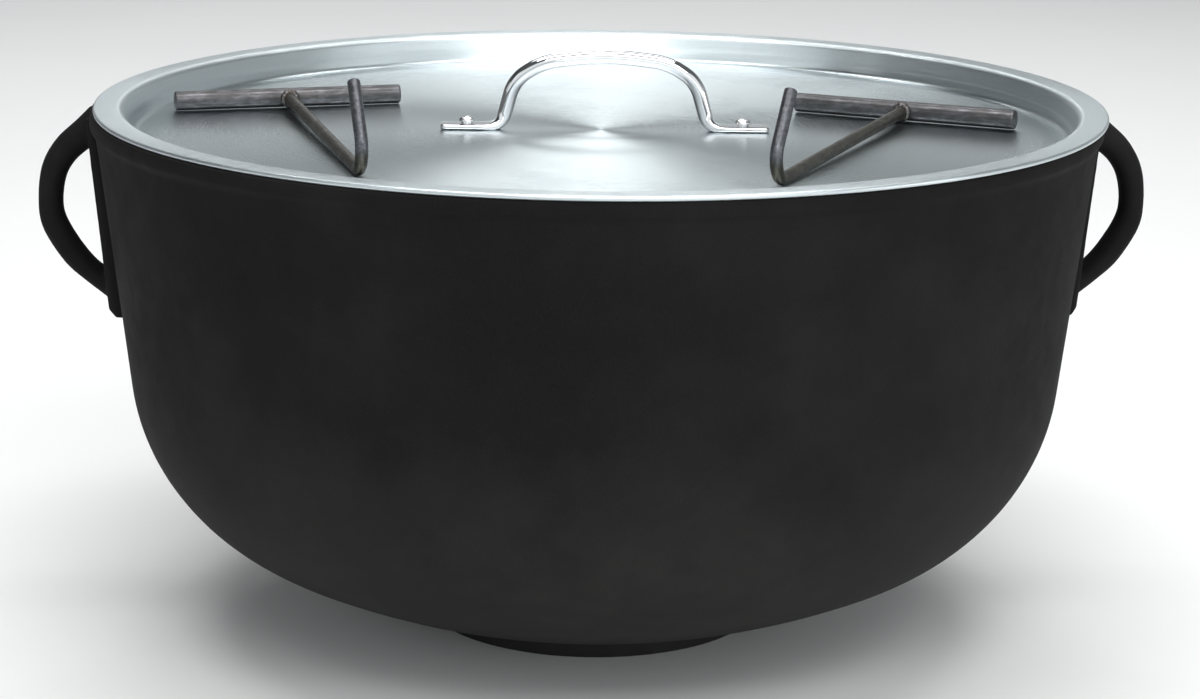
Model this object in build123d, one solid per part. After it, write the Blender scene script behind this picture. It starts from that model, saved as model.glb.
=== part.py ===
from build123d import *
import math
import os

# Cast-iron kettle with a spun dished lid, a riveted lid handle and two loose
# T-handled lifting hooks lying in the lid's dish. Millimetres, +Z up, origin
# at the centre of the foot's underside, side handles along X.

# ---------------------------------------------------------------- dimensions
lid_top_z = 321.5          # height of the lid flange's upper face
flange_t = 3.0             # lid flange thickness
rim_z = lid_top_z - flange_t

# kettle body
wall_t = 9.0               # casting thickness
wall_top_r = 302.4         # outer wall radius at wall_top_z
wall_top_z = 312.35
wall_slope = 0.1132        # radius gained per unit height
knuckle_r = 128.6          # outer radius between wall and crown
knuckle_c = (156.5, 166.9)
crown_r = 471.0            # outer radius of the shallow crown
crown_cz = 471.5
foot_r = 104.0             # short round foot
foot_recess_r = 88.0
foot_recess_d = 2.5
lip_r = 304.8              # small thickened lip at the mouth
lip_h = 9.0

# cast side handles: centreline (radius, height under lid top), thickness,
# tangential width, direction
grip = [
    (294.0, -6.8, 21.0, 34.0, (0.707, -0.707)),
    (307.5, -18.9, 19.0, 30.0, (0.733, -0.680)),
    (321.0, -30.7, 17.6, 25.5, (0.790, -0.613)),
    (328.7, -44.2, 16.4, 22.8, (0.331, -0.944)),
    (331.2, -62.0, 15.4, 22.0, (0.0, -1.0)),
    (328.9, -76.5, 16.0, 22.4, (-0.316, -0.949)),
    (318.3, -94.6, 15.6, 24.0, (-0.690, -0.724)),
    (306.2, -107.0, 13.4, 28.0, (-0.780, -0.626)),
    (293.0, -116.4, 15.0, 33.0, (-0.830, -0.558)),
]
pad_w = 48.0               # back pad width, top, bottom and face radii
pad_top = -9.0
pad_bottom = -130.5
pad_face_top_r = 307.2
pad_face_bottom_r = 296.0
pad_edge = 4.0

# lid
lid_r = 305.0
lid_shift = 2.3            # the lid sits this far off-centre along +X
lid_turn = -3.2            # and is turned by this about Z
lid_depth = 18.5           # flange top to floor
lid_inner_r = 287.6        # flange inner edge
lid_floor_r = 282.0
lid_t = 2.6                # dish sheet thickness
floor_z = lid_top_z - lid_depth

# lid handle: round rod with flattened riveted feet
rod_d = 9.0
foot_len = 100.0           # half the overall length
foot_t = 3.2               # flattened thickness
foot_w = 15.0              # flattened width
foot_flat = 66.0           # flattening starts at this half length
foot_rise = 3.0            # rod's centreline over the floor at the feet
handle_shift = 2.4         # the handle is riveted on this far off-centre
bow = [(62.8, 3.0), (55.3, 30.0), (38.0, 41.0), (0.0, 45.4)]  # half arch: corners
bow_bends = [8.5, 24.0, 40.0, 200.0]   # bend radius at each corner
foot_corner = 3.0          # plan corner radius of the feet
rivet_x = 84.0
rivet_head_d = 9.8
rivet_head_h = 3.3
rivet_neck_d = 7.0
rivet_neck_h = 1.2
rivet_d = 6.0
rivet_tail_d = 9.5
rivet_tail_h = 2.4

# lifting hooks
bar_d = 12.0
bar_len = 143.0
bar_chamfer = 1.0
stem_d = 7.5
bend_r = 13.0
bend_angle = 127.0
tip_len = 34.0
hook_gap = 0.3             # clearance over the lid's floor
# bar centre, bar angle, bend contact point, all from the lid's centre
left_hook_at = ((-197.6, 70.2), 15.6, (-135.4, -158.9))
right_hook_at = ((188.8, 43.3), -24.3, (101.1, -174.9))


# ------------------------------------------------------------------- helpers
def polar(c, r, ang):
    return (c[0] + r * math.cos(ang), c[1] + r * math.sin(ang))


def outer_curve(off):
    """Points of the body's outer profile, moved inward by off."""
    a = math.atan(wall_slope)
    kr = knuckle_r - off
    cr = crown_r - off
    t1 = polar(knuckle_c, kr, -a)                      # wall meets knuckle
    d = (knuckle_c[0], knuckle_c[1] - crown_cz)
    b = math.atan2(d[1], d[0])
    t2 = polar(knuckle_c, kr, b)                       # knuckle meets crown
    m1 = polar(knuckle_c, kr, (b - a) / 2)
    return t1, m1, t2, b, cr


def wall_radius(z, off=0.0):
    base = wall_top_r + wall_slope * (z - wall_top_z)
    return base - off * math.sqrt(1 + wall_slope ** 2)


def crown_z(r, cr):
    return crown_cz - math.sqrt(cr * cr - r * r)


def biggest(shape):
    return max(shape.solids(), key=lambda s: s.volume)


def save(shape, name):
    os.makedirs("parts", exist_ok=True)
    export_step(shape, "parts/" + name + ".step")


# --------------------------------------------------------------- kettle body
def body_profile():
    t1, m1, t2, b, cr = outer_curve(0.0)
    i1, im, i2, ib, icr = outer_curve(wall_t)
    # the crown's own radius through the knuckle's tangent point
    cr = math.hypot(t2[0], t2[1] - crown_cz)
    icr = math.hypot(i2[0], i2[1] - crown_cz)
    zf = crown_z(foot_r, cr)
    mid_r = (foot_r + t2[0]) / 2
    lip_z = rim_z - lip_h
    lr = wall_radius(lip_z - 2.5)
    lines = [
        Line((0, foot_recess_d), (foot_recess_r - 4, foot_recess_d)),
        Line((foot_recess_r - 4, foot_recess_d), (foot_recess_r, 0)),
        Line((foot_recess_r, 0), (foot_r - 1.5, 0)),
        Line((foot_r - 1.5, 0), (foot_r, 1.5)),
        Line((foot_r, 1.5), (foot_r, zf)),
        ThreePointArc((foot_r, zf), (mid_r, crown_z(mid_r, cr)), t2),
        ThreePointArc(t2, m1, t1),
        Line(t1, (lr, lip_z - 2.5)),
        Line((lr, lip_z - 2.5), (lip_r, lip_z + 1.0)),
        Line((lip_r, lip_z + 1.0), (lip_r, rim_z - 1.6)),
        ThreePointArc((lip_r, rim_z - 1.6),
                      (lip_r - 1.6 * (1 - math.sqrt(0.5)),
                       rim_z - 1.6 * (1 - math.sqrt(0.5))),
                      (lip_r - 1.6, rim_z)),
        Line((lip_r - 1.6, rim_z), (wall_radius(rim_z, wall_t), rim_z)),
        Line((wall_radius(rim_z, wall_t), rim_z), i1),
        ThreePointArc(i1, im, i2),
        ThreePointArc(i2, (i2[0] / 2, crown_z(i2[0] / 2, icr)),
                      (0, crown_cz - icr)),
        Line((0, crown_cz - icr), (0, foot_recess_d)),
    ]
    outer = [
        Line((0, 0), (foot_r, 0)),
        Line((foot_r, 0), (foot_r, zf)),
        ThreePointArc((foot_r, zf), (mid_r, crown_z(mid_r, cr)), t2),
        ThreePointArc(t2, m1, t1),
        Line(t1, (lr, lip_z - 2.5)),
        Line((lr, lip_z - 2.5), (lip_r, lip_z + 1.0)),
        Line((lip_r, lip_z + 1.0), (lip_r, rim_z + 30)),
        Line((lip_r, rim_z + 30), (0, rim_z + 30)),
        Line((0, rim_z + 30), (0, 0)),
    ]
    return lines, outer


def spin(lines):
    face = make_face(Wire([(Plane.XZ * e).edge() for e in lines]))
    return revolve(face, Axis.Z)


body_lines, envelope_lines = body_profile()
kettle_body = biggest(spin(body_lines))
envelope = biggest(spin(envelope_lines))
save(kettle_body, "kettle_body")


# -------------------------------------------------------------- side handles
def make_handle(side):
    sections = []
    for r, h, t, w, d in grip:
        pl = Plane(origin=(r, 0, lid_top_z + h), x_dir=(0, 1, 0),
                   z_dir=(d[0], 0, d[1]))
        sections.append(pl * Ellipse(w / 2, t / 2))
    loop = loft(sections)
    pad_pts = [(278, pad_top), (pad_face_top_r, pad_top),
               (pad_face_bottom_r, pad_bottom), (278, pad_bottom)]
    pad_face = make_face(Plane.XZ * Polyline(
        [(x, lid_top_z + z) for x, z in pad_pts] +
        [(pad_pts[0][0], lid_top_z + pad_pts[0][1])]))
    pad = extrude(pad_face, pad_w / 2, both=True)
    front = pad.faces().sort_by(Axis.X)[-1]
    pad = fillet(front.edges(), pad_edge)
    whole = (loop + pad) - envelope
    top = Pos(300, 0, lid_top_z - 5 + 25) * Box(200, 120, 50)
    whole = biggest(whole - top)
    if side < 0:
        whole = Rot(0, 0, 180) * whole
    return whole


right_handle = make_handle(1)
left_handle = make_handle(-1)
save(right_handle, "right_handle")
save(left_handle, "left_handle")

# ----------------------------------------------------------------------- lid
lid_place = Pos(lid_shift, 0, 0) * Rot(0, 0, lid_turn)


def lid_profile():
    k = math.hypot(lid_inner_r - lid_floor_r, lid_depth) / lid_depth
    dx = lid_t * k                                     # wall's level thickness
    s = (lid_inner_r - lid_floor_r) / lid_depth
    zt, zf = lid_top_z, floor_z
    zb, zu = zf - lid_t, zt - flange_t
    pts = [
        (0, zf), (lid_floor_r, zf), (lid_inner_r, zt), (lid_r, zt),
        (lid_r, zu), (lid_inner_r + dx - s * flange_t, zu),
        (lid_floor_r + dx - s * lid_t, zb), (0, zb),
    ]
    face = make_face(Plane.XZ * Polyline(pts + [pts[0]]))
    rad = {1: 4.0, 2: 5.0, 3: 1.3, 4: 1.3, 5: 2.0, 6: 6.6}
    for i, r in rad.items():
        p = Vector(pts[i][0], 0, pts[i][1])
        v = [v for v in face.vertices() if (Vector(v.X, v.Y, v.Z) - p).length < 1e-4]
        face = fillet(v, r)
    return face


def rivet_at(x, y=0):
    return Pos(x, y, 0)


lid_pan = revolve(lid_profile(), Axis.Z)
for sx in (-1, 1):
    lid_pan -= rivet_at(handle_shift + sx * rivet_x) * Pos(0, 0, floor_z) * Cylinder(rivet_d / 2, 20)
lid_pan = biggest(lid_pan)


def rounded_path(pts, radii):
    """Straight runs joined by arcs of the given radii at the inner points."""
    edges = []
    last = Vector(*pts[0])
    for i in range(1, len(pts) - 1):
        a, p, c = Vector(*pts[i - 1]), Vector(*pts[i]), Vector(*pts[i + 1])
        u = (a - p).normalized()
        w = (c - p).normalized()
        half = math.acos(max(-1, min(1, u.dot(w)))) / 2
        cut = radii[i - 1] / math.tan(half)
        s, e = p + u * cut, p + w * cut
        centre = p + (u + w).normalized() * (radii[i - 1] / math.sin(half))
        m = centre + (p - centre).normalized() * radii[i - 1]
        if (s - last).length > 1e-6:
            edges.append(Line(last, s))
        edges.append(ThreePointArc(s, m, e))
        last = e
    edges.append(Line(last, Vector(*pts[-1])))
    return Wire([e.edge() for e in edges])


def make_lid_handle():
    zr = floor_z + foot_rise
    half = [(x, 0, floor_z + z) for x, z in bow]
    pts = [(-foot_len + 8, 0, zr)] + [(-x, y, z) for x, y, z in half[:-1]]
    pts += [half[-1]] + half[-2::-1] + [(foot_len - 8, 0, zr)]
    path = rounded_path(pts, bow_bends + bow_bends[-2::-1])
    rod = sweep(Plane(origin=pts[0], z_dir=(1, 0, 0)) * Circle(rod_d / 2), path)
    # the rod's underside is pressed flat on the lid
    rod -= Pos(0, 0, floor_z - 10) * Box(240, 40, 20)
    # flatten the feet: trim the rod's top and add the spread-out metal
    for sx in (-1, 1):
        x0, x1 = sx * (foot_flat + 2), sx * (foot_flat + 7)
        wedge = make_face(Plane.XZ * Polyline(
            [(x0, floor_z + 12), (x0, floor_z + 8), (x1, floor_z + foot_t),
             (sx * 120, floor_z + foot_t), (sx * 120, floor_z + 12),
             (x0, floor_z + 12)]))
        rod -= extrude(wedge, 20, both=True)
        mid = (foot_flat + foot_len) / 2
        pad = Pos(sx * mid, 0, floor_z) * extrude(
            RectangleRounded(foot_len - foot_flat, foot_w, foot_corner), foot_t)
        ridge = pad.faces().sort_by(Axis.Z)[-1]
        pad = fillet(ridge.edges(), 1.0)
        rod += pad
    for sx in (-1, 1):
        rod -= Pos(sx * rivet_x, 0, floor_z) * Cylinder(rivet_d / 2, 40)
    return Pos(handle_shift, 0, 0) * biggest(rod)


def dome_mid(r, h):
    """Half-way point of a circular cap of base radius r and height h."""
    R = (r * r + h * h) / (2 * h)
    a = math.asin(r / R) / 2
    return R * math.sin(a), h - R + R * math.cos(a)


def make_rivet(x):
    r0, h0 = rivet_head_d / 2, rivet_head_h - 0.5
    zt = floor_z + foot_t
    zn = zt + rivet_neck_h
    zb = floor_z - lid_t
    r1, h1 = rivet_tail_d / 2, rivet_tail_h
    mx, mz = dome_mid(r0, h0)
    tx, tz = dome_mid(r1, h1)
    edges = [
        ThreePointArc((0, zb - h1), (tx, zb - tz), (r1, zb)),
        Line((r1, zb), (rivet_d / 2, zb)),
        Line((rivet_d / 2, zb), (rivet_d / 2, zt)),
        Line((rivet_d / 2, zt), (rivet_neck_d / 2, zt)),
        Line((rivet_neck_d / 2, zt), (rivet_neck_d / 2, zn)),
        Line((rivet_neck_d / 2, zn), (r0 - 0.3, zn)),
        Line((r0 - 0.3, zn), (r0, zn + 0.5)),
        ThreePointArc((r0, zn + 0.5), (mx, zn + 0.5 + mz), (0, zn + rivet_head_h)),
        Line((0, zn + rivet_head_h), (0, zb - h1)),
    ]
    return biggest(rivet_at(x) * spin(edges))


lid_handle = make_lid_handle()
rivet_left = make_rivet(handle_shift - rivet_x)
rivet_right = make_rivet(handle_shift + rivet_x)
save(lid_place * lid_pan, "lid_pan")
save(lid_place * lid_handle, "lid_handle")
save(lid_place * rivet_left, "lid_rivet_left")
save(lid_place * rivet_right, "lid_rivet_right")


# ------------------------------------------------------------- lifting hooks
def make_hook(at):
    (bx, by), bar_angle, (cx, cy) = at
    z0 = floor_z + hook_gap
    bar_c = Vector(bx, by, z0 + bar_d / 2)
    bar_dir = Vector(math.cos(math.radians(bar_angle)),
                     math.sin(math.radians(bar_angle)), 0)
    bar_plane = Plane(origin=bar_c, z_dir=bar_dir)
    bar_full = bar_plane * Cylinder(bar_d / 2, bar_len)
    bar = chamfer(bar_full.edges().filter_by(GeomType.CIRCLE), bar_chamfer)
    # stem from the bar's axis to the bend, on the floor at the bend
    start = bar_c
    low = Vector(cx, cy, z0 + stem_d / 2)
    run = (low - start)
    flat = Vector(run.X, run.Y, 0).normalized()
    tilt = math.atan2(run.Z, math.hypot(run.X, run.Y))
    up = Vector(0, 0, 1)

    def at_angle(a):
        return flat * math.cos(a) + up * math.sin(a)

    d0 = at_angle(tilt)
    n0 = at_angle(tilt + math.pi / 2)
    centre = low + n0 * bend_r
    a1 = math.radians(bend_angle)

    def on_bend(a):
        return centre + at_angle(tilt - math.pi / 2 + a) * bend_r

    end = on_bend(a1)
    tip = end + at_angle(tilt + a1) * tip_len
    path = Wire([Line(start, low).edge(),
                 ThreePointArc(low, on_bend(a1 / 2), end).edge(),
                 Line(end, tip).edge()])
    rod = sweep(Plane(origin=start, z_dir=d0) * Circle(stem_d / 2), path)
    tip_edge = rod.edges().filter_by(GeomType.CIRCLE).sort_by(
        lambda e: (e.center() - tip).length)[0]
    rod = chamfer(tip_edge, 0.8)
    rod = biggest(rod - bar_full)
    # fillet weld around the stem where it meets the bar
    ring = Plane(origin=start + d0 * (bar_d / 2 + 1.3), z_dir=d0) * Torus(
        stem_d / 2 + 0.4, 2.3)
    weld = ring - bar_full - rod
    under = Pos(bar_c.X, bar_c.Y, z0 - 20) * Box(60, 60, 40)
    weld = biggest(weld - under)
    return bar, rod, weld


for side, at in (("left", left_hook_at), ("right", right_hook_at)):
    bar, rod, weld = make_hook(at)
    save(lid_place * bar, side + "_hook_grip_bar")
    save(lid_place * rod, side + "_hook_rod")
    save(lid_place * weld, side + "_hook_weld")
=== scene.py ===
import math
import random

import bmesh
import bpy
from mathutils import Matrix, Vector, noise


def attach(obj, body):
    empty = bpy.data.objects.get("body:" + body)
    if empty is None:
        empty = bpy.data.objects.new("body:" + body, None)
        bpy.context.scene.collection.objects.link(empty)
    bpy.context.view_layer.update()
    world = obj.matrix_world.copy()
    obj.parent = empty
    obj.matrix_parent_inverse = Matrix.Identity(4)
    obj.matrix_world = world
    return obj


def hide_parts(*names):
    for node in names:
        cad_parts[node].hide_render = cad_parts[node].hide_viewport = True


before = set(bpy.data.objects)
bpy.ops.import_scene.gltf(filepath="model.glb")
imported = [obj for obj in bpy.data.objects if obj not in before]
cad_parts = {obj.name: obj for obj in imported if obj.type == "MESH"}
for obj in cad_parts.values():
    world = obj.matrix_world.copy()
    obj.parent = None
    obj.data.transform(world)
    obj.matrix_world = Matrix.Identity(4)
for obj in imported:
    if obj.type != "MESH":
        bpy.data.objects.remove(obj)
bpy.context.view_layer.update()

random.seed(7)
MM = 0.001
scene = bpy.context.scene

# ------------------------------------------------------------------ key sizes
# The same design sizes as the CAD source, in millimetres.
LID_TOP = 321.5
LID_R = 305.0
LID_SHIFT = 2.3
LID_TURN = math.radians(-3.2)
LID_DEPTH = 18.5
FLOOR = LID_TOP - LID_DEPTH
LID_T = 2.6
LIP_R = 304.8
RIM_Z = LID_TOP - 3.0


def place(p):
    """From the lid's own frame to the row frame, in millimetres."""
    c, s = math.cos(LID_TURN), math.sin(LID_TURN)
    return Vector((LID_SHIFT + p[0] * c - p[1] * s, p[0] * s + p[1] * c, p[2]))


# -------------------------------------------------------------------- helpers
def round_corners(pts, radii, steps=6):
    """Polyline in a plane whose inner corners are rounded. radii: {index: r}."""
    out = []
    n = len(pts)
    for i, p in enumerate(pts):
        r = radii.get(i, 0)
        if r <= 0 or i in (0, n - 1):
            out.append(tuple(p))
            continue
        a, b, c = Vector(pts[i - 1]), Vector(p), Vector(pts[i + 1])
        u, w = (a - b).normalized(), (c - b).normalized()
        half = math.acos(max(-1, min(1, u.dot(w)))) / 2
        cut = min(r / math.tan(half), (a - b).length * 0.49, (c - b).length * 0.49)
        rr = cut * math.tan(half)
        centre = b + (u + w).normalized() * (rr / math.sin(half))
        s, e = b + u * cut - centre, b + w * cut - centre
        a0, a1 = math.atan2(s.y, s.x), math.atan2(e.y, e.x)
        while a1 - a0 > math.pi:
            a1 -= 2 * math.pi
        while a1 - a0 < -math.pi:
            a1 += 2 * math.pi
        for k in range(steps + 1):
            t = a0 + (a1 - a0) * k / steps
            out.append((centre.x + rr * math.cos(t), centre.y + rr * math.sin(t)))
    return out


def resample(pts, longest):
    """Adds points so that no run is longer than longest."""
    out = [pts[0]]
    for a, b in zip(pts, pts[1:]):
        d = math.dist(a, b)
        n = max(1, math.ceil(d / longest))
        for k in range(1, n + 1):
            t = k / n
            out.append(tuple(x + (y - x) * t for x, y in zip(a, b)))
    return out


def new_object(name, verts, faces, sharp=35.0, smooth=True):
    me = bpy.data.meshes.new(name)
    me.from_pydata(verts, [], faces)
    me.validate()
    me.update()
    if smooth:
        me.shade_smooth()
        if sharp:
            me.set_sharp_from_angle(angle=math.radians(sharp))
    o = bpy.data.objects.new(name, me)
    scene.collection.objects.link(o)
    return o


def lathe(name, profile, segs, move=None, sharp=35.0):
    """Turns a closed profile of (radius, height) in mm round Z. Points on the axis are shared."""
    verts, rings = [], []
    for r, z in profile:
        if r < 1e-6:
            rings.append([len(verts)])
            verts.append(Vector((0, 0, z)))
        else:
            ring = []
            for k in range(segs):
                a = 2 * math.pi * k / segs
                ring.append(len(verts))
                verts.append(Vector((r * math.cos(a), r * math.sin(a), z)))
            rings.append(ring)
    faces = []
    closed = profile[0][0] > 1e-6
    pairs = list(zip(rings, rings[1:]))
    if closed:
        pairs.append((rings[-1], rings[0]))
    for a, b in pairs:
        for k in range(segs):
            k2 = (k + 1) % segs
            if len(a) == 1 and len(b) == 1:
                break
            if len(a) == 1:
                faces.append((a[0], b[k2], b[k]))
            elif len(b) == 1:
                faces.append((a[k], a[k2], b[0]))
            else:
                faces.append((a[k], a[k2], b[k2], b[k]))
    if move:
        verts = [move(v) for v in verts]
    o = new_object(name, [v * MM for v in verts], faces, sharp)
    fix_normals(o)
    return o


def fix_normals(o):
    bm = bmesh.new()
    bm.from_mesh(o.data)
    bmesh.ops.recalc_face_normals(bm, faces=bm.faces)
    bm.to_mesh(o.data)
    bm.free()
    o.data.update()


def modifier_apply(o):
    """Bakes the object's modifiers into its mesh."""
    dg = bpy.context.evaluated_depsgraph_get()
    dg.update()
    me = bpy.data.meshes.new_from_object(o.evaluated_get(dg))
    o.modifiers.clear()
    o.data = me
    return o


def tube(name, stations, sides, power=None, sharp=50.0, noise_fn=None):
    """stations: (centre, normal, binormal, half normal, half binormal, power) in mm."""
    verts, faces = [], []
    for c, nrm, bi, hn, hb, pw in stations:
        for k in range(sides):
            a = 2 * math.pi * k / sides
            ca, sa = math.cos(a), math.sin(a)
            e = 2.0 / pw
            x = math.copysign(abs(ca) ** e, ca) * hb
            y = math.copysign(abs(sa) ** e, sa) * hn
            v = c + bi * x + nrm * y
            if noise_fn:
                v = noise_fn(v, c)
            verts.append(v * MM)
    n = len(stations)
    for i in range(n - 1):
        for k in range(sides):
            k2 = (k + 1) % sides
            faces.append((i * sides + k, i * sides + k2, (i + 1) * sides + k2, (i + 1) * sides + k))
    a, b = len(verts), len(verts) + 1
    verts.append(stations[0][0] * MM)
    verts.append(stations[-1][0] * MM)
    for k in range(sides):
        k2 = (k + 1) % sides
        faces.append((a, k2, k))
        faces.append((b, (n - 1) * sides + k, (n - 1) * sides + k2))
    o = new_object(name, verts, faces, sharp)
    fix_normals(o)
    return o


# ------------------------------------------------------------------ materials
class Mat:
    """A small helper for procedural node materials."""

    def __init__(self, name):
        self.m = bpy.data.materials.new(name)
        self.m.use_nodes = True
        self.t = self.m.node_tree
        self.t.nodes.clear()
        self.out = self.add("ShaderNodeOutputMaterial")
        self.b = self.add("ShaderNodeBsdfPrincipled")
        self.t.links.new(self.b.outputs[0], self.out.inputs[0])
        self.co = self.add("ShaderNodeTexCoord").outputs["Object"]

    def add(self, kind, **kw):
        n = self.t.nodes.new(kind)
        for k, v in kw.items():
            setattr(n, k, v)
        return n

    def link(self, a, b):
        self.t.links.new(a, b)
        return b

    def noise(self, scale, detail=3.0, rough=0.5, vec=None, distort=0.0):
        n = self.add("ShaderNodeTexNoise")
        n.inputs["Scale"].default_value = scale
        n.inputs["Detail"].default_value = detail
        n.inputs["Roughness"].default_value = rough
        n.inputs["Distortion"].default_value = distort
        self.link(vec or self.co, n.inputs["Vector"])
        return n.outputs["Fac"]

    def voronoi(self, scale, vec=None, feature="F1"):
        n = self.add("ShaderNodeTexVoronoi", feature=feature)
        n.inputs["Scale"].default_value = scale
        self.link(vec or self.co, n.inputs["Vector"])
        return n.outputs["Distance"]

    def ramp(self, fac, stops):
        n = self.add("ShaderNodeValToRGB")
        e = n.color_ramp.elements
        while len(e) < len(stops):
            e.new(0.5)
        for i, (p, c) in enumerate(stops):
            e[i].position = p
            e[i].color = (c, c, c, 1) if isinstance(c, (int, float)) else (*c, 1)
        self.link(fac, n.inputs[0])
        return n.outputs[0]

    def range(self, fac, a, b, c, d, clamp=True):
        n = self.add("ShaderNodeMapRange")
        n.clamp = clamp
        for i, v in enumerate((a, b, c, d)):
            n.inputs[i + 1].default_value = v
        self.link(fac, n.inputs[0])
        return n.outputs[0]

    def math(self, op, a, b=None, c=None):
        n = self.add("ShaderNodeMath", operation=op)
        for i, v in enumerate((a, b, c)):
            if v is None:
                continue
            if isinstance(v, (int, float)):
                n.inputs[i].default_value = v
            else:
                self.link(v, n.inputs[i])
        return n.outputs[0]

    def mix(self, fac, a, b, blend="MIX"):
        n = self.add("ShaderNodeMix", data_type="RGBA", blend_type=blend)
        for sock, v in ((n.inputs[0], fac), (n.inputs[6], a), (n.inputs[7], b)):
            if isinstance(v, (int, float)):
                sock.default_value = v
            elif isinstance(v, tuple):
                sock.default_value = (*v, 1)
            else:
                self.link(v, sock)
        return n.outputs[2]

    def scaled(self, x, y, z, vec=None):
        n = self.add("ShaderNodeMapping")
        n.inputs["Scale"].default_value = (x, y, z)
        self.link(vec or self.co, n.inputs["Vector"])
        return n.outputs[0]

    def bump(self, height, strength, distance, normal=None):
        n = self.add("ShaderNodeBump")
        n.inputs["Strength"].default_value = strength
        n.inputs["Distance"].default_value = distance
        self.link(height, n.inputs["Height"])
        if normal:
            self.link(normal, n.inputs["Normal"])
        return n.outputs[0]

    def set(self, **kw):
        names = {
            "color": "Base Color", "metal": "Metallic", "rough": "Roughness",
            "ior": "IOR", "spec": "Specular IOR Level", "aniso": "Anisotropic",
            "aniso_rot": "Anisotropic Rotation", "coat": "Coat Weight",
            "coat_rough": "Coat Roughness", "normal": "Normal", "tangent": "Tangent",
        }
        for k, v in kw.items():
            s = self.b.inputs[names[k]]
            if isinstance(v, (int, float)):
                s.default_value = v
            elif isinstance(v, tuple):
                s.default_value = (*v, 1)
            else:
                self.link(v, s)
        return self

    def cylindrical(self):
        """Radius, height and angle of the object's own coordinates."""
        sep = self.add("ShaderNodeSeparateXYZ")
        self.link(self.co, sep.inputs[0])
        x, y, z = sep.outputs
        r = self.math("SQRT", self.math("ADD", self.math("MULTIPLY", x, x), self.math("MULTIPLY", y, y)))
        ang = self.math("ARCTAN2", y, x)
        return r, z, ang

    def combine(self, x, y, z):
        n = self.add("ShaderNodeCombineXYZ")
        for i, v in enumerate((x, y, z)):
            if isinstance(v, (int, float)):
                n.inputs[i].default_value = v
            else:
                self.link(v, n.inputs[i])
        return n.outputs[0]


def iron_material(name, seed_shift=0.0):
    """Matte black seasoned casting: sand-cast grain, faint oily patches, and painted floor-bounce light that greys the
    lower bowl.
    """
    m = Mat(name)
    vec = m.scaled(1, 1, 1)
    fine = m.noise(1500, 4, 0.62)
    grain = m.noise(520, 3, 0.55)
    broad = m.noise(9, 4, 0.6)
    mid = m.noise(60, 4, 0.6)
    pits = m.voronoi(260)
    base = m.mix(m.range(broad, 0.35, 0.68, 0, 1), (0.0068, 0.0066, 0.0068), (0.0108, 0.0103, 0.0102))
    base = m.mix(m.range(fine, 0.52, 0.78, 0, 0.5), base, (0.030, 0.028, 0.026))
    base = m.mix(m.range(pits, 0.0, 0.12, 0.35, 0), base, (0.003, 0.003, 0.003))
    # painted floor-bounce light: the lower bowl is painted lighter grey, fading out by z 0.19 m, so the wall toward the
    # mouth stays blacker
    r, z, ang = m.cylindrical()
    painted_bounce_mask = m.math("ADD", m.range(z, 0.03, 0.19, 1.15, 0.0), m.range(broad, 0.3, 0.7, -0.15, 0.15))
    # the lighter grey of the painted floor-bounce light, with light specks
    grey = m.mix(m.range(mid, 0.35, 0.7, 0, 1), (0.022, 0.0213, 0.0213), (0.030, 0.0288, 0.028))
    grey = m.mix(m.range(fine, 0.52, 0.78, 0, 0.45), grey, (0.048, 0.045, 0.042))
    base = m.mix(m.range(painted_bounce_mask, 0.0, 1.0, 0.0, 0.85), base, grey)
    rough = m.math("ADD", m.range(mid, 0.3, 0.7, 0.70, 0.80), m.range(fine, 0.3, 0.7, -0.05, 0.07))
    b1 = m.bump(grain, 0.35, 0.0004)
    b2 = m.bump(fine, 0.45, 0.00016, b1)
    b3 = m.bump(m.range(pits, 0.0, 0.2, 0, 1), 0.18, 0.0002, b2)
    m.set(color=base, rough=rough, spec=0.07, normal=b3)
    return m.m


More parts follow.
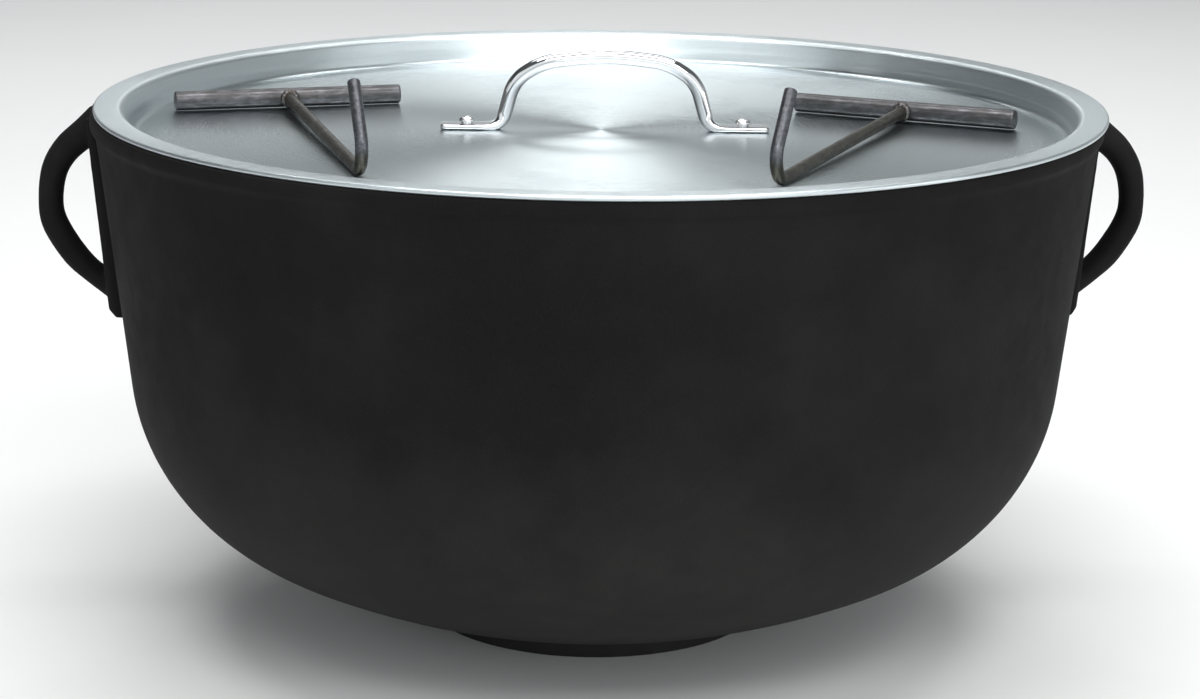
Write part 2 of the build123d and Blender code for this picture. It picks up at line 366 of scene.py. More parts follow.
def lid_material():
    """Spun aluminium: fine turned rings, a few heavier tool lines, soft haze and light scratches."""
    m = Mat("spun_aluminium")
    r, z, ang = m.cylindrical()
    ring_vec = m.combine(m.math("MULTIPLY", r, 1.0), 0.0, m.math("MULTIPLY", z, 1.0))
    fine = m.noise(2600, 2, 0.6, ring_vec)
    coarse = m.noise(420, 3, 0.6, ring_vec)
    wide = m.noise(60, 2, 0.5, ring_vec)
    # short arcs: rings broken up round the circle
    arc_vec = m.combine(m.math("MULTIPLY", r, 2600.0), m.math("MULTIPLY", ang, 4.0), 0.0)
    arcs = m.noise(1.0, 2, 0.6, arc_vec)
    haze = m.noise(7, 3, 0.55)
    dust = m.noise(1500, 2, 0.6)
    col = m.mix(m.range(haze, 0.35, 0.7, 0, 1), (0.61, 0.675, 0.70), (0.66, 0.72, 0.74))
    col = m.mix(m.range(arcs, 0.45, 0.75, 0, 0.22), col, (0.50, 0.535, 0.55))
    col = m.mix(m.range(dust, 0.42, 0.6, 0.22, 0), col, (0.46, 0.50, 0.515))
    col = m.mix(m.range(coarse, 0.55, 0.8, 0, 0.25), col, (0.76, 0.79, 0.80))
    rough = m.math("ADD", m.range(haze, 0.3, 0.7, 0.26, 0.31), m.range(arcs, 0.35, 0.7, -0.012, 0.016))
    rough = m.math("ADD", rough, m.range(dust, 0.58, 0.8, 0, 0.07))
    # the flat rim is brushed duller than the dish
    rough = m.math("ADD", rough, m.range(r, 0.281, 0.285, 0, 0.06))
    b1 = m.bump(fine, 0.08, 0.00005)
    b2 = m.bump(coarse, 0.045, 0.00012, b1)
    tan = m.add("ShaderNodeTangent", direction_type="RADIAL", axis="Z").outputs[0]
    # on the flat rim the scratches run every way, so the sheen has no direction there
    stray = m.add("ShaderNodeTexNoise")
    stray.inputs["Scale"].default_value = 5200
    stray.inputs["Detail"].default_value = 1.0
    m.link(m.co, stray.inputs["Vector"])
    cross = m.add("ShaderNodeVectorMath", operation="CROSS_PRODUCT")
    m.link(tan, cross.inputs[0])
    cross.inputs[1].default_value = (0, 0, 1)
    pick = m.math("MULTIPLY", m.range(r, 0.281, 0.285, 0, 1), m.range(stray.outputs["Fac"], 0.47, 0.53, 0, 1))
    tan = m.mix(pick, tan, cross.outputs[0])
    m.set(color=col, metal=1.0, rough=rough, aniso=0.88, aniso_rot=0.25, tangent=tan, normal=b2)
    return m.m


def chrome_material():
    m = Mat("bright_plate")
    smear = m.noise(35, 4, 0.6)
    fine = m.noise(700, 2, 0.5)
    col = m.mix(m.range(smear, 0.4, 0.7, 0, 1), (0.74, 0.74, 0.75), (0.66, 0.665, 0.68))
    rough = m.math("ADD", m.range(smear, 0.35, 0.75, 0.03, 0.07), m.range(fine, 0.6, 0.8, 0, 0.05))
    m.set(color=col, metal=1.0, rough=rough, normal=m.bump(m.noise(120, 2, 0.5), 0.04, 0.0004))
    return m.m


def rivet_material():
    m = Mat("rivet_aluminium")
    fine = m.noise(800, 3, 0.6)
    mid = m.noise(150, 3, 0.6)
    col = m.mix(m.range(mid, 0.4, 0.7, 0, 1), (0.74, 0.75, 0.76), (0.62, 0.63, 0.65))
    rough = m.math("ADD", m.range(mid, 0.3, 0.7, 0.20, 0.32), m.range(fine, 0.5, 0.8, 0, 0.08))
    m.set(color=col, metal=1.0, rough=rough, normal=m.bump(mid, 0.25, 0.0003))
    return m.m


def hook_material(name, heading, body, worn, low_tint, seed):
    """Hot-rolled bar: dark mill scale drawn out along the bar, rubbed bright streaks, a little rust."""
    m = Mat(name)
    turned = m.add("ShaderNodeMapping")
    turned.inputs["Rotation"].default_value = (0, 0, -heading)
    turned.inputs["Location"].default_value = (seed, 0, 0)
    m.link(m.co, turned.inputs["Vector"])
    lay = m.scaled(0.22, 1, 1, turned.outputs[0])
    fine = m.noise(1400, 4, 0.65)
    drawn = m.noise(700, 4, 0.62, lay)
    blot = m.noise(230, 4, 0.62, m.scaled(0.45, 1, 1, turned.outputs[0]))
    rust = m.noise(110, 5, 0.7)
    r, z, ang = m.cylindrical()
    upper = m.range(z, 0.3155, 0.322, 0, 1)
    c1 = m.mix(m.range(drawn, 0.3, 0.7, 0, 1), tuple(v * 0.72 for v in body), tuple(v * 1.2 for v in body))
    c1 = m.mix(m.range(blot, 0.5, 0.72, 0, 0.55), c1, worn)
    c1 = m.mix(m.range(blot, 0.5, 0.3, 0, 0.45), c1, tuple(v * 0.45 for v in body))
    c1 = m.mix(m.range(rust, 0.56, 0.78, 0, 0.5), c1, low_tint)
    steel = m.mix(m.range(drawn, 0.3, 0.7, 0, 1), (0.074, 0.077, 0.087), (0.183, 0.190, 0.205))
    steel = m.mix(m.range(blot, 0.52, 0.75, 0, 0.5), steel, (0.06, 0.053, 0.057))
    col = m.mix(upper, c1, steel)
    rough = m.math("ADD", m.range(drawn, 0.3, 0.7, 0.40, 0.30), m.range(fine, 0.4, 0.7, -0.04, 0.10))
    rough = m.math("ADD", rough, m.range(blot, 0.5, 0.7, 0.05, -0.04))
    b1 = m.bump(blot, 0.25, 0.00025)
    b2 = m.bump(drawn, 0.25, 0.00014, b1)
    b3 = m.bump(fine, 0.3, 0.0001, b2)
    m.set(color=col, metal=0.9, rough=rough, normal=b3)
    return m.m


def weld_material():
    m = Mat("weld_bead")
    mid = m.noise(260, 4, 0.65)
    tint = m.noise(120, 3, 0.5)
    col = m.mix(m.range(mid, 0.35, 0.7, 0, 1), (0.035, 0.033, 0.033), (0.16, 0.15, 0.145))
    col = m.mix(m.range(tint, 0.5, 0.75, 0, 0.5), col, (0.11, 0.085, 0.06))
    rough = m.range(mid, 0.3, 0.7, 0.48, 0.28)
    m.set(color=col, metal=0.85, rough=rough, normal=m.bump(mid, 0.6, 0.0006))
    return m.m


def floor_material():
    m = Mat("pale_floor")
    n1 = m.noise(3, 3, 0.5)
    n2 = m.noise(400, 2, 0.5)
    col = m.mix(m.range(n1, 0.3, 0.7, 0, 1), (0.86, 0.86, 0.86), (0.875, 0.875, 0.872))
    m.set(color=col, rough=m.range(n2, 0.3, 0.7, 0.75, 0.85), spec=0.25)
    return m.m


def paint(o, mat):
    o.data.materials.clear()
    o.data.materials.append(mat)
    return o


iron = iron_material("seasoned_iron")
alu = lid_material()
plate = chrome_material()
rivet_alu = rivet_material()
weld_steel = weld_material()

# ---------------------------------------------------------------- kettle body
WALL = 9.0
SLOPE = 0.1132
KC = (156.5, 166.9)
KR = 128.6
CROWN_Z = 471.5


def wall_r(z, off=0.0):
    return 302.4 + SLOPE * (z - 312.35) - off * math.sqrt(1 + SLOPE ** 2)


def arc(c, r, a0, a1, n):
    return [(c[0] + r * math.cos(a0 + (a1 - a0) * k / n), c[1] + r * math.sin(a0 + (a1 - a0) * k / n)) for k in range(n + 1)]


def crown(r, off):
    k2 = math.atan2(KC[1] - CROWN_Z, KC[0])
    p = (KC[0] + (KR - off) * math.cos(k2), KC[1] + (KR - off) * math.sin(k2))
    cr = math.hypot(p[0], p[1] - CROWN_Z)
    return CROWN_Z - math.sqrt(cr * cr - r * r)


a_wall = -math.atan(SLOPE)
a_crown = math.atan2(KC[1] - CROWN_Z, KC[0])
outer_knuckle = arc(KC, KR, a_crown, a_wall, 26)
inner_knuckle = arc(KC, KR - WALL, a_wall, a_crown, 22)
lip_z = RIM_Z - 9.0
foot_z = crown(104.0, 0)
prof = [(0, 2.5)]
prof += [(84.0 * k / 6, 2.5) for k in range(1, 7)]
prof += [(86.0, 1.2), (87.6, 0.3), (88.4, 0.0), (102.6, 0.0), (103.5, 0.4), (104.0, 1.3)]
prof += [(104.0, foot_z - 2.2), (104.35, foot_z - 0.9), (105.4, crown(105.4, 0) + 0.0)]
prof += [(105.4 + (outer_knuckle[0][0] - 105.4) * k / 16, crown(105.4 + (outer_knuckle[0][0] - 105.4) * k / 16, 0)) for k in range(1, 16)]
prof += outer_knuckle
z1 = outer_knuckle[-1][1]
prof += [(wall_r(z1 + (lip_z - 4.0 - z1) * k / 26), z1 + (lip_z - 4.0 - z1) * k / 26) for k in range(1, 27)]
prof += [(wall_r(lip_z - 2.6) + 0.25, lip_z - 2.2), (LIP_R - 0.9, lip_z - 0.1), (LIP_R - 0.15, lip_z + 1.2), (LIP_R, lip_z + 2.4)]
prof += [(LIP_R, RIM_Z - 1.8), (LIP_R - 0.35, RIM_Z - 0.8), (LIP_R - 1.0, RIM_Z - 0.2), (LIP_R - 1.9, RIM_Z)]
ri = wall_r(RIM_Z, WALL)
prof += [(ri + 1.2, RIM_Z), (ri + 0.35, RIM_Z - 0.35), (ri, RIM_Z - 1.2)]
z2 = inner_knuckle[0][1]
prof += [(wall_r(RIM_Z - 1.2 - (RIM_Z - 1.2 - z2) * k / 20, WALL), RIM_Z - 1.2 - (RIM_Z - 1.2 - z2) * k / 20) for k in range(1, 20)]
prof += inner_knuckle
rk = inner_knuckle[-1][0]
prof += [(rk * (1 - k / 16), crown(rk * (1 - k / 16), WALL)) for k in range(1, 17)]
prof[-1] = (0, prof[-1][1])


def cast_move(v):
    """Slight unevenness of a sand casting: only ever inwards from the design surface."""
    r = math.hypot(v.x, v.y)
    if v.z < 3.2 or v.z > lip_z - 3.0 or r < 60:
        return v
    n1 = noise.noise(Vector((v.x, v.y, v.z * 1.3)) * 0.011)
    n2 = noise.noise(Vector((v.x, v.y, v.z)) * 0.035 + Vector((5, 1, 7)))
    d = 0.32 * (n1 + 1) * 0.5 + 0.10 * (n2 + 1) * 0.5
    f = min(1.0, (v.z - 3.2) / 12.0, (lip_z - 3.0 - v.z) / 14.0)
    k = 1 - d * f / max(r, 1)
    return Vector((v.x * k, v.y * k, v.z))


body = lathe("kettle_shell", prof, 320, cast_move, 40)
paint(body, iron)
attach(body, "kettle")
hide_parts("kettle_body")

# --------------------------------------------------------------- side handles
GRIP = [
    (294.0, -6.8, 20.6, 33.4, (0.707, -0.707)),
    (307.5, -18.9, 18.8, 29.6, (0.733, -0.680)),
    (321.0, -30.7, 17.4, 25.3, (0.790, -0.613)),
    (328.7, -44.2, 16.3, 22.6, (0.331, -0.944)),
    (331.2, -62.0, 15.3, 21.9, (0.0, -1.0)),
    (328.9, -76.5, 15.9, 22.3, (-0.316, -0.949)),
    (318.3, -94.6, 15.5, 23.8, (-0.690, -0.724)),
    (306.2, -107.0, 13.3, 27.8, (-0.780, -0.626)),
    (293.0, -116.4, 14.8, 32.8, (-0.830, -0.558)),
]


def catmull(vals, t):
    """Smooth interpolation of a list of tuples at 0..len-1."""
    n = len(vals)
    i = min(int(t), n - 2)
    u = t - i
    p = [vals[max(0, min(n - 1, j))] for j in (i - 1, i, i + 1, i + 2)]
    out = []
    for a, b, c, d in zip(*p):
        out.append(0.5 * ((2 * b) + (-a + c) * u + (2 * a - 5 * b + 4 * c - d) * u * u + (-a + 3 * b - 3 * c + d) * u ** 3))
    return out


def grip_stations():
    raw = [(r, h, t, w) for r, h, t, w, _ in GRIP]
    cs = [catmull(raw, (len(raw) - 1) * k / 72) for k in range(73)]
    st = []
    for i, (r, h, t, w) in enumerate(cs):
        a = cs[max(0, i - 1)]
        b = cs[min(len(cs) - 1, i + 1)]
        tan = Vector((b[0] - a[0], 0, b[1] - a[1])).normalized()
        bi = Vector((0, 1, 0))
        nrm = bi.cross(tan).normalized()
        st.append((Vector((r, 0, LID_TOP + h)), nrm, bi, t / 2, w / 2, 2.15))
    return st


def join(name, objs):
    bm = bmesh.new()
    for o in objs:
        bm.from_mesh(o.data)
        me = o.data
        bpy.data.objects.remove(o)
    me = bpy.data.meshes.new(name)
    bm.to_mesh(me)
    bm.free()
    o = bpy.data.objects.new(name, me)
    scene.collection.objects.link(o)
    return o


def pad_mesh(name):
    """The back pad: a rounded plate that follows the wall's curve, slightly crowned."""
    rows, cols, depth = 26, 17, 5
    zt, zb = LID_TOP - 9.0, LID_TOP - 130.5
    hw = 24.0
    verts, faces = [], []
    idx = {}
    er = 4.0

    def face_r(z):
        return 307.2 + (296.0 - 307.2) * (zt - z) / (zt - zb)

    for side in (0, 1):
        for i in range(rows + 1):
            for j in range(cols + 1):
                u = -1 + 2 * j / cols
                w = i / rows
                y = hw * u
                z = zb + (zt - zb) * w
                if side == 0:
                    d = min(hw - abs(y), z - zb, zt - z + 6)
                    drop = 0.0
                    if d < er:
                        drop = er - math.sqrt(max(0.0, er * er - (er - d) ** 2))
                    x = face_r(z) - drop * 0.9
                else:
                    x = math.sqrt(wall_r(z) ** 2 - y * y) - 4.0
                idx[side, i, j] = len(verts)
                verts.append(Vector((x, y, z)) * MM)
    for i in range(rows):
        for j in range(cols):
            faces.append((idx[0, i, j], idx[0, i, j + 1], idx[0, i + 1, j + 1], idx[0, i + 1, j]))
            faces.append((idx[1, i, j], idx[1, i + 1, j], idx[1, i + 1, j + 1], idx[1, i, j + 1]))
    for i in range(rows):
        faces.append((idx[0, i, 0], idx[0, i + 1, 0], idx[1, i + 1, 0], idx[1, i, 0]))
        faces.append((idx[0, i, cols], idx[1, i, cols], idx[1, i + 1, cols], idx[0, i + 1, cols]))
    for j in range(cols):
        faces.append((idx[0, 0, j], idx[1, 0, j], idx[1, 0, j + 1], idx[0, 0, j + 1]))
        faces.append((idx[0, rows, j], idx[0, rows, j + 1], idx[1, rows, j + 1], idx[1, rows, j]))
    o = new_object(name, verts, faces)
    fix_normals(o)
    return o


def side_handle(name, node, side):
    loop = tube(name + "_loop", grip_stations(), 36)
    pad = pad_mesh(name + "_pad")
    o = join(name, [loop, pad])
    mod = o.modifiers.new("r", "REMESH")
    mod.mode = "VOXEL"
    mod.voxel_size = 0.9 * MM
    modifier_apply(o)
    mod = o.modifiers.new("s", "SMOOTH")
    mod.factor = 0.5
    mod.iterations = 9
    modifier_apply(o)
    bm = bmesh.new()
    bm.from_mesh(o.data)
    # nothing above the rim, and nothing left deep in the wall
    geom = bm.verts[:] + bm.edges[:] + bm.faces[:]
    bmesh.ops.bisect_plane(bm, geom=geom, plane_co=Vector((0, 0, LID_TOP - 5.4)) * MM, plane_no=(0, 0, 1), clear_outer=True)
    edges = [e for e in bm.edges if e.is_boundary]
    if edges:
        bmesh.ops.holes_fill(bm, edges=edges)
    for v in bm.verts:
        p = v.co / MM
        k = noise.noise(p * 0.06 + Vector((side * 31.0, 0, 0)))
        k2 = noise.noise(p * 0.22)
        v.co -= v.normal * (0.16 * (k + 1) + 0.05 * (k2 + 1)) * MM
        r = math.hypot(v.co.x, v.co.y) / MM
        inner = wall_r(v.co.z / MM) - 3.0
        if r < inner:
            f = inner / max(r, 1e-6)
            v.co.x *= f
            v.co.y *= f
    if side < 0:
        for v in bm.verts:
            v.co.x, v.co.y = -v.co.x, -v.co.y
    bm.to_mesh(o.data)
    bm.free()
    o.data.shade_smooth()
    o.data.update()
    paint(o, iron)
    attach(o, "kettle")
    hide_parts(node)
    return o


side_handle("side_handle_right", "right_handle", 1)
side_handle("side_handle_left", "left_handle", -1)

# ------------------------------------------------------------------------ lid
k_in, k_fl = 287.6, 282.0
kk = math.hypot(k_in - k_fl, LID_DEPTH) / LID_DEPTH
dx = LID_T * kk
sl = (k_in - k_fl) / LID_DEPTH
zf, zt = FLOOR, LID_TOP
top = round_corners(
    [(230, zf), (k_fl, zf), (k_in, zt), (LID_R - 0.06, zt), (LID_R - 0.06, zt - 3), (k_in + dx - sl * 3, zt - 3),
     (k_fl + dx - sl * LID_T, zf - LID_T), (230, zf - LID_T)],
    {1: 4.0, 2: 5.0, 3: 1.45, 4: 1.45, 5: 2.0, 6: 6.6}, 9)
lid_prof = [(0, zf)] + [(x, zf) for x in (6, 14, 30, 50, 75, 100, 130, 165, 200)] + top
lid_prof += [(x, zf - LID_T) for x in (200, 165, 130, 100, 75, 50, 30, 14, 6)] + [(0, zf - LID_T)]
zc = (zf + zt) / 2


def lid_at(o):
    """The lid is modelled round its own centre, so that its rings turn about it."""
    o.matrix_world = Matrix.Translation(Vector((LID_SHIFT, 0, zc)) * MM)
    return o


lid = lathe("lid_pan_spun", [(r, z - zc) for r, z in lid_prof], 384, None, 60)
lid_at(lid)
paint(lid, alu)
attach(lid, "lid")
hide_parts("lid_pan")


# ----------------------------------------------------------------- lid handle
def rod_path(pts, radii, step=1.0):
    flat = round_corners(pts, radii, 14)
    return resample(flat, step)


HANDLE_SHIFT = 2.4


def lid_handle():
    rod = 4.5
    ft, fw = 3.2, 15.0
    half = [(63.2, ft / 2), (55.3, 30.0), (38.0, 41.0)]
    pts = [(-100, ft / 2)] + [(-x, z) for x, z in half] + [(0, 45.4)] + half[::-1] + [(100, ft / 2)]
    line = rod_path(pts, {1: 9.0, 2: 24.0, 3: 40.0, 4: 200.0, 5: 40.0, 6: 24.0, 7: 9.0}, 1.1)
    s = [0.0]
    for a, b in zip(line, line[1:]):
        s.append(s[-1] + math.dist(a, b))
    total = s[-1]
    # where the bend begins, from the end of the foot
    st = []
    for i, (x, z) in enumerate(line):
        d = min(s[i], total - s[i])
        a = line[max(0, i - 1)]
        b = line[min(len(line) - 1, i + 1)]
        tan = Vector((b[0] - a[0], 0, b[1] - a[1])).normalized()
        bi = Vector((0, 1, 0))
        nrm = tan.cross(bi).normalized()
        if nrm.z < 0 and abs(tan.x) > 0.9:
            nrm = -nrm
        t = max(0.0, min(1.0, (d - 25.0) / 19.0))
        t = t * t * (3 - 2 * t)
        hn = ft / 2 + (rod - ft / 2) * t
        hb = fw / 2 + (rod - fw / 2) * t
        pw = 4.2 + (2.0 - 4.2) * t
        # rounded corners at the foot's end, in plan and in thickness
        cr = 3.2
        if d < cr:
            q = math.sqrt(max(0.0, cr * cr - (cr - d) ** 2))
            hb = hb - cr + q
        if d < 1.0:
            hn = hn * (0.62 + 0.38 * math.sqrt(max(0.0, 1 - (1 - d) ** 2)))
        st.append((Vector((x + HANDLE_SHIFT, 0, FLOOR + z)), nrm, bi, hn, hb, pw))
    # consistent normals along the rod
    fixed = [st[0]]
    for c, nrm, bi, hn, hb, pw in st[1:]:
        if nrm.dot(fixed[-1][1]) < 0:
            nrm = -nrm
        fixed.append((c, nrm, bi, hn, hb, pw))
    moved = []
    rot = Matrix.Rotation(LID_TURN, 3, "Z")
    for c, nrm, bi, hn, hb, pw in fixed:
        # the underside never goes below the lid's floor
        moved.append((place(c), rot @ nrm, rot @ bi, hn, hb, pw))

    def keep_up(v, c):
        return Vector((v.x, v.y, max(v.z, FLOOR + 0.02)))

    o = tube("lid_handle_rod", moved, 40, sharp=42, noise_fn=keep_up)
    return o


handle = lid_handle()
paint(handle, plate)
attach(handle, "lid")
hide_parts("lid_handle")


def rivet(name, node, x):
    z0 = 3.2
    prof = [(0, 0)]
    tail = [(0, -2.6 - 2.4)] + [(4.75 * math.sin(math.pi / 2 * k / 8), -2.6 - 2.4 * math.cos(math.pi / 2 * k / 8)) for k in range(1, 9)]
    shank = [(3.0, -2.6), (3.0, z0)]
    neck = [(3.5, z0 + 0.02), (3.4, z0 + 0.9), (3.7, z0 + 1.2)]
    head = [(4.5, z0 + 1.2), (4.78, z0 + 1.35), (4.9, z0 + 1.7)]
    dome = [(4.9 * math.cos(math.pi / 2 * k / 10), z0 + 1.7 + 2.8 * math.sin(math.pi / 2 * k / 10)) for k in range(1, 10)] + [(0, z0 + 4.5)]
    prof = tail + shank + neck + head + dome
    c = place((x, 0, FLOOR))

    def move(v):
        w = 1 + 0.012 * noise.noise(v * 0.5 + Vector((x, 0, 0)))
        return Vector((v.x * w, v.y * w, v.z)) + c

    o = lathe(name, prof, 48, move, 50)
    paint(o, rivet_alu)
    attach(o, "lid")
    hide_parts(node)
    return o


rivet("lid_rivet_a", "lid_rivet_left", HANDLE_SHIFT - 84.0)
rivet("lid_rivet_b", "lid_rivet_right", HANDLE_SHIFT + 84.0)

# ---------------------------------------------------------------------- hooks
BAR_R, BAR_L = 6.0, 143.0
STEM_R = 3.75
BEND_R, BEND_A, TIP = 13.0, math.radians(127.0), 34.0
GAP = 0.3


def hook(side, bar_at, angle, low_at, seed):
    z0 = FLOOR + GAP
    c = place((bar_at[0], bar_at[1], z0 + BAR_R))
    ang = math.radians(angle) + LID_TURN
    along = Vector((math.cos(ang), math.sin(ang), 0))
    across = Vector((-along.y, along.x, 0))
    up = Vector((0, 0, 1))
    # grip bar: sawn ends with a small burr-rounded edge, slightly uneven rolled skin
    st = []
    half = BAR_L / 2
    n = 96
    marks = [-half, -half + 0.25, -half + 0.8] + [-half + 1.2 + (BAR_L - 2.4) * k / n for k in range(n + 1)] + [half - 0.8, half - 0.25, half]
    for s in marks:
        e = half - abs(s)
        r = BAR_R - (0.55 if e < 0.05 else 0.22 if e < 0.5 else 0.05 if e < 1.0 else 0.0)
        st.append((c + along * s, up, across, r, r, 2.0))

    def skin(v, cc):
        d = v - cc
        q = noise.noise(v * 0.09 + Vector((seed, 0, 0))) * 0.06 + noise.noise(v * 0.5) * 0.03
        return cc + d * (1 - (0.09 + q) / BAR_R * 0.5)

    bar = tube(side + "_grip_bar", st, 40, sharp=38, noise_fn=skin)
    bar_steel = hook_material("mill_scale_bar_" + side, ang, (0.087, 0.085, 0.089), (0.188, 0.192, 0.205), (0.105, 0.083, 0.066), seed)
    paint(bar, bar_steel)
    # bent rod
    low = place((low_at[0], low_at[1], z0 + STEM_R))
    run = low - c
    flat = Vector((run.x, run.y, 0)).normalized()
    tilt = math.atan2(run.z, math.hypot(run.x, run.y))
    bi = flat.cross(up)

    def dirn(a):
        return flat * math.cos(a) + up * math.sin(a)

    centre = low + dirn(tilt + math.pi / 2) * BEND_R
    pts = []
    length = run.length
    m = 130
    for k in range(m + 1):
        s = 2.0 + (length - 2.0) * k / m
        pts.append((c + dirn(tilt) * s, tilt))
    for k in range(1, 33):
        a = BEND_A * k / 32
        pts.append((centre + dirn(tilt - math.pi / 2 + a) * BEND_R, tilt + a))
    end, ae = pts[-1]
    for k in range(1, 27):
        pts.append((end + dirn(ae) * TIP * k / 26, ae))
    st = []
    for i, (p, a) in enumerate(pts):
        e = (len(pts) - 1 - i)
        r = STEM_R - (0.8 if e == 0 else 0.0)
        st.append((p, dirn(a + math.pi / 2), bi, r, r, 2.0))
    # one more ring close to the tip for a crisp sawn edge
    p, a = pts[-1]
    st.insert(-1, (p - dirn(a) * 0.75, dirn(a + math.pi / 2), bi, STEM_R - 0.02, STEM_R - 0.02, 2.0))

    def skin2(v, cc):
        d = v - cc
        q = noise.noise(v * 0.12 + Vector((0, seed, 0))) * 0.06 + noise.noise(v * 0.6) * 0.03
        w = cc + d * (1 - (0.08 + q) / STEM_R * 0.5)
        return Vector((w.x, w.y, max(w.z, z0)))

    rod = tube(side + "_hook_stem", st, 32, sharp=38, noise_fn=skin2)
    rod_steel = hook_material("mill_scale_rod_" + side, math.atan2(flat.y, flat.x), (0.082, 0.077, 0.064), (0.14, 0.135, 0.115),
                              (0.10, 0.078, 0.055), seed + 5)
    paint(rod, rod_steel)
    # weld: a rippled fillet bead round the joint
    d0 = dirn(tilt)
    n0 = dirn(tilt + math.pi / 2)
    base = c + d0 * (BAR_R + 1.1)
    verts, faces = [], []
    nu, nv = 72, 18
    for i in range(nu):
        a = 2 * math.pi * i / nu
        rad = bi * math.cos(a) + n0 * math.sin(a)
        ripple = 1 + 0.07 * math.sin(a * 11 + seed) + 0.12 * noise.noise(Vector((math.cos(a), math.sin(a), seed)) * 1.7)
        # the bead leans back onto the bar where the bar curves away
        lean = 1.1 * math.sin(a) ** 2
        mid = base - d0 * lean + rad * (STEM_R + 0.25)
        for j in range(nv):
            b = 2 * math.pi * j / nv
            rr = 2.0 * ripple * (1 + 0.16 * math.cos(a - 2.4))
            p = mid + (rad * math.cos(b) + d0 * math.sin(b) * 1.05) * rr
            q = p + (p - mid).normalized() * 0.18 * noise.noise(p * 0.9)
            q.z = max(q.z, z0 + 0.02)
            verts.append(q * MM)
    for i in range(nu):
        for j in range(nv):
            i2, j2 = (i + 1) % nu, (j + 1) % nv
            faces.append((i * nv + j, i2 * nv + j, i2 * nv + j2, i * nv + j2))
    weld = new_object(side + "_weld_bead", verts, faces, None)
    fix_normals(weld)
    paint(weld, weld_steel)
    for o, nodes in ((bar, side + "_hook_grip_bar"), (rod, side + "_hook_rod"), (weld, side + "_hook_weld")):
        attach(o, side + "_hook")
        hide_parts(nodes)


hook("left", (-197.6, 70.2), 15.6, (-135.4, -158.9), 3.0)
hook("right", (188.8, 43.3), -24.3, (101.1, -174.9), 11.0)

# ---------------------------------------------------------------------- stage
bpy.ops.mesh.primitive_grid_add(x_subdivisions=4, y_subdivisions=4, size=40, location=(0, 0, 0))
ground = bpy.context.object
ground.name = "studio_floor"
ground.data.materials.append(floor_material())

# --------------------------------------------------------------------- lights
world = bpy.data.worlds.new("studio")
scene.world = world
world.use_nodes = True
wt = world.node_tree
wt.nodes.clear()


def wn(kind):
    return wt.nodes.new(kind)


def wmath(op, a, b=0.0):
    n = wn("ShaderNodeMath")
    n.operation = op
    for k, v in enumerate((a, b)):
        if isinstance(v, (int, float)):
            n.inputs[k].default_value = v
        else:
            wt.links.new(v, n.inputs[k])
    return n.outputs[0]


def wstep(v, a, b, c=0.0, d=1.0):
    n = wn("ShaderNodeMapRange")
    n.interpolation_type = "SMOOTHSTEP"
    for k, x in enumerate((a, b, c, d)):
        n.inputs[k + 1].default_value = x
    wt.links.new(v, n.inputs[0])
    return n.outputs[0]


def cool(v):
    return (v * 0.955, v, v * 1.015, 1)


# A soft grey room: dim low down, bright overhead, a broad white screen in front, dark drape at the left.
wo = wn("ShaderNodeOutputWorld")
bg = wn("ShaderNodeBackground")
wt.links.new(bg.outputs[0], wo.inputs[0])
sep = wn("ShaderNodeSeparateXYZ")
wt.links.new(wn("ShaderNodeTexCoord").outputs["Generated"], sep.inputs[0])
wx, wy, wz = sep.outputs
sky = wn("ShaderNodeValToRGB")
e = sky.color_ramp.elements
e[0].position, e[0].color = 0.0, cool(0.52)
e[1].position, e[1].color = 1.0, cool(0.14)
for at, v in ((0.22, 0.53), (0.36, 0.38), (0.55, 0.16)):
    e.new(at).color = cool(v)
wt.links.new(wz, sky.inputs[0])
low = wstep(wz, 0.55, 0.95, 1.0, 0.0)
drape = wmath("MULTIPLY", wstep(wx, -0.45, -0.05, 0.70, 0.0), low)
right = wmath("MULTIPLY", wstep(wx, 0.05, 0.45, 0.0, 0.15), low)
level = wmath("SUBTRACT", wmath("SUBTRACT", 1.0, drape), right)
flat = wmath("SQRT", wmath("ADD", wmath("ADD", wmath("MULTIPLY", wx, wx), wmath("MULTIPLY", wy, wy)), 1e-6))
toward = wmath("DIVIDE", wmath("MULTIPLY", wy, -1.0), flat)
screen = wmath("MULTIPLY", wstep(toward, 0.33, 0.45), wmath("MULTIPLY", wstep(wz, 0.05, 0.13), wstep(wz, 0.52, 0.68, 1.0, 0.0)))
dim = wn("ShaderNodeVectorMath")
dim.operation = "SCALE"
wt.links.new(sky.outputs[0], dim.inputs[0])
wt.links.new(level, dim.inputs[3])
room = wn("ShaderNodeMix")
room.data_type = "RGBA"
wt.links.new(screen, room.inputs[0])
wt.links.new(dim.outputs[0], room.inputs[6])
room.inputs[7].default_value = cool(1.10)
wt.links.new(room.outputs[2], bg.inputs[0])
bg.inputs[1].default_value = 1.0


def area(name, loc, target, size, size_y, radiance, color=(1, 1, 1)):
    d = bpy.data.lights.new(name, "AREA")
    d.shape = "RECTANGLE"
    d.size, d.size_y = size, size_y
    d.energy = radiance * math.pi * size * size_y
    d.color = color
    o = bpy.data.objects.new(name, d)
    scene.collection.objects.link(o)
    o.location = loc
    o.rotation_mode = "QUATERNION"
    o.rotation_quaternion = (Vector(target) - Vector(loc)).to_track_quat("-Z", "Y")
    return o


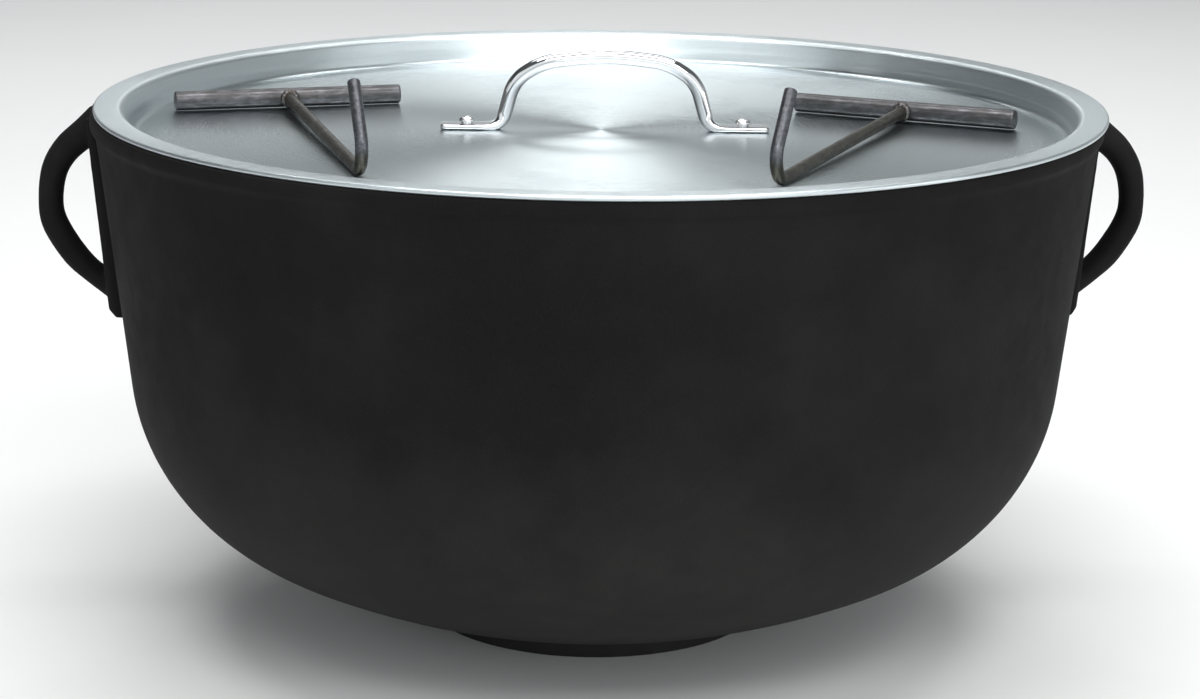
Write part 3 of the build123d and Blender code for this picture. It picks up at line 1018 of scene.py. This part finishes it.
area("front_low", (0.9, -2.8, 0.45), (0, 0, 0.1), 2.6, 0.8, 1.3)
area("right_low", (2.6, -1.2, 0.45), (0, 0, 0.12), 1.1, 0.8, 3.4)
area("front_key", (0.4, -2.7, 2.9), (0.1, 0.0, 0.1), 3.2, 1.3, 4.6)
area("ceiling_strip", (0.0, -0.3, 3.1), (0.0, 0.0, 0), 3.0, 0.75, 9.6)
area("back_fill", (0.0, 1.9, 3.2), (0.0, 1.2, 0), 3.6, 0.45, 6.6)
area("back_sky", (0.0, 3.0, 2.15), (0, 0, 0.3), 0.72, 0.50, 4.0)
area("back_lamp", (0.04, 2.2, 3.3), (0, 0, 0.3), 0.13, 0.13, 55.0, (1.0, 0.965, 0.945))
area("left_patch", (-2.9, -0.45, 1.15), (0, 0, 0.3), 0.30, 0.7, 1.5)
area("right_glint", (2.85, -0.90, 1.05), (0, 0, 0.3), 0.07, 0.5, 4.0, (1.0, 0.93, 0.88))

# --------------------------------------------------------------------- camera
R = LID_R * MM
D, elev, fpx = 6.0, math.radians(9.29), 3001.0
pitch, yaw, roll = math.radians(14.054), math.radians(0.029), math.radians(0.610)
C = Vector((0, -D * math.cos(elev), D * math.sin(elev)))
fw = Vector((math.sin(yaw) * math.cos(pitch), math.cos(yaw) * math.cos(pitch), -math.sin(pitch)))
rt = fw.cross(Vector((0, 0, 1))).normalized()
upv = rt.cross(fw)
r2 = rt * math.cos(roll) + upv * math.sin(roll)
u2 = -rt * math.sin(roll) + upv * math.cos(roll)
turn = Matrix.Rotation(LID_TURN, 3, "Z")
loc = turn @ (C * R) + Vector((LID_SHIFT, 0, LID_TOP)) * MM
r2, u2, bk = turn @ r2, turn @ u2, turn @ (-fw)
cam_data = bpy.data.cameras.new("camera")
cam = bpy.data.objects.new("camera", cam_data)
scene.collection.objects.link(cam)
cam_data.sensor_width = 36.0
cam_data.lens = fpx / 1200.0 * 36.0
cam_data.clip_start, cam_data.clip_end = 0.05, 100
cam.matrix_world = Matrix((
    (r2.x, u2.x, bk.x, loc.x),
    (r2.y, u2.y, bk.y, loc.y),
    (r2.z, u2.z, bk.z, loc.z),
    (0, 0, 0, 1)))
scene.camera = cam
scene.view_settings.view_transform = "Standard"
scene.view_settings.look = "None"
scene.view_settings.exposure = 0.0
scene.view_settings.gamma = 1.0
